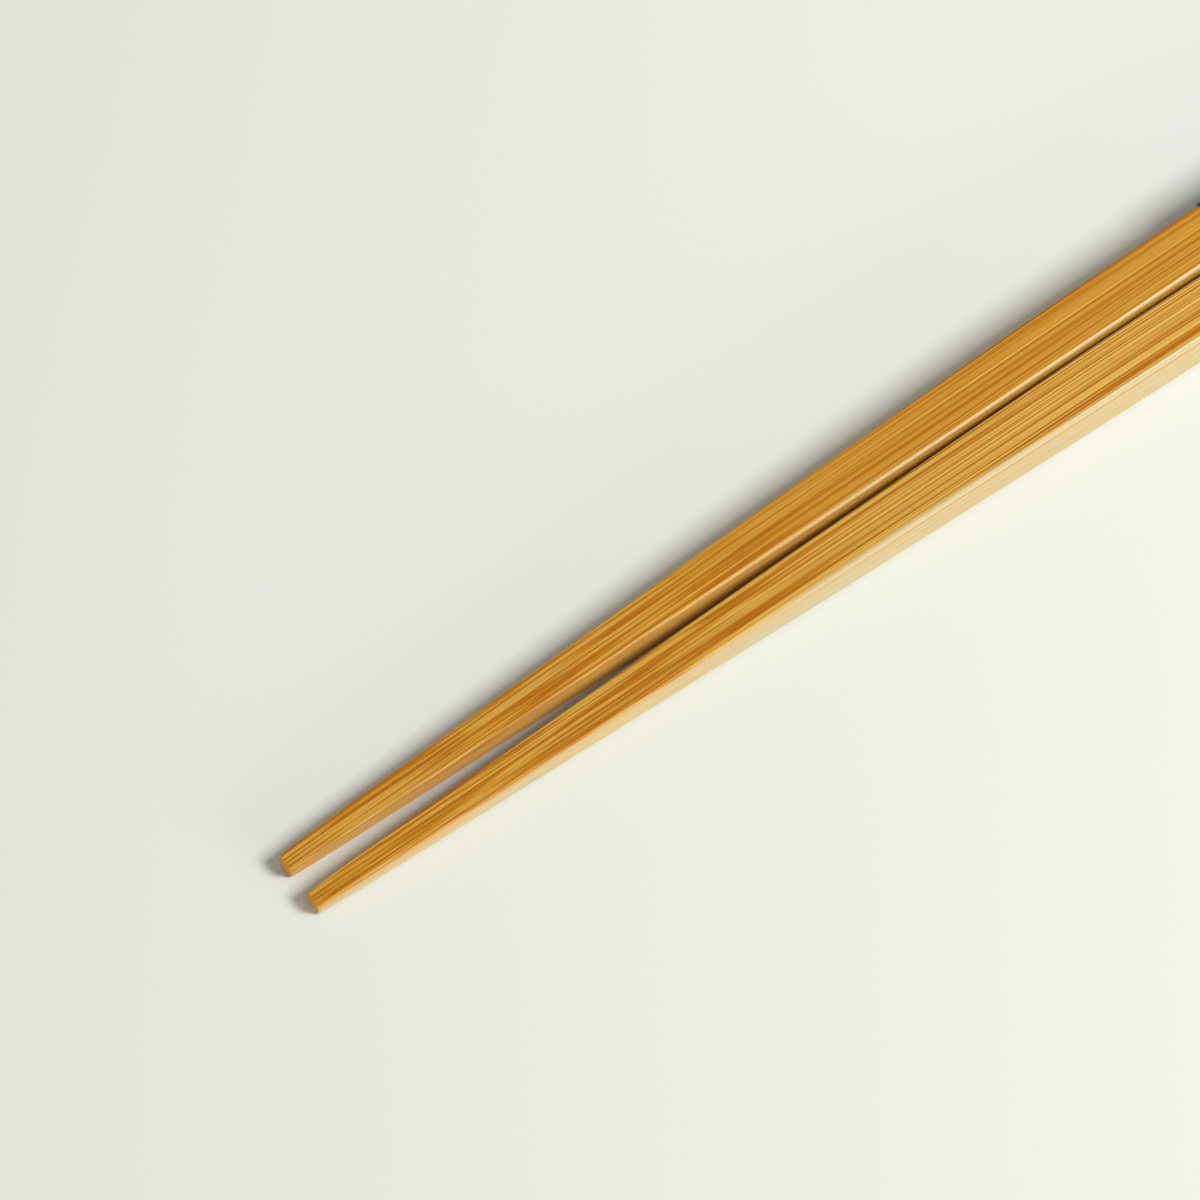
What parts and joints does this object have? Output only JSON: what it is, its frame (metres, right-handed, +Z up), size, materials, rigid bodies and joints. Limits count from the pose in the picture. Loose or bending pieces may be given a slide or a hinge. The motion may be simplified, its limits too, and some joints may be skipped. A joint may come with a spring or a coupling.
{
  "type": "pair of bamboo chopsticks",
  "caption": "Slim square bamboo chopsticks lying side by side, tapering to blunt tips, with a dark blue dipped coat over the handles, for picking up food.",
  "frame": {"origin": "middle of the pair's bounding box, on the floor that the handle coats lie on", "axes": "+X along the sticks from the tips to the butts, +Y across the pair towards the right-hand stick as seen from the butts, +Z up"},
  "size_m": [0.23, 0.0176, 0.008],
  "materials": {
    "bamboo": "amber bamboo with fine long fibres under a clear gloss varnish",
    "handle_coat": "dark blue dipped coat, satin gloss"
  },
  "bodies": {
    "root": {"left_chopstick": "bamboo", "left_handle_coat": "handle_coat", "right_chopstick": "bamboo", "right_handle_coat": "handle_coat"}
  },
  "joints": []
}
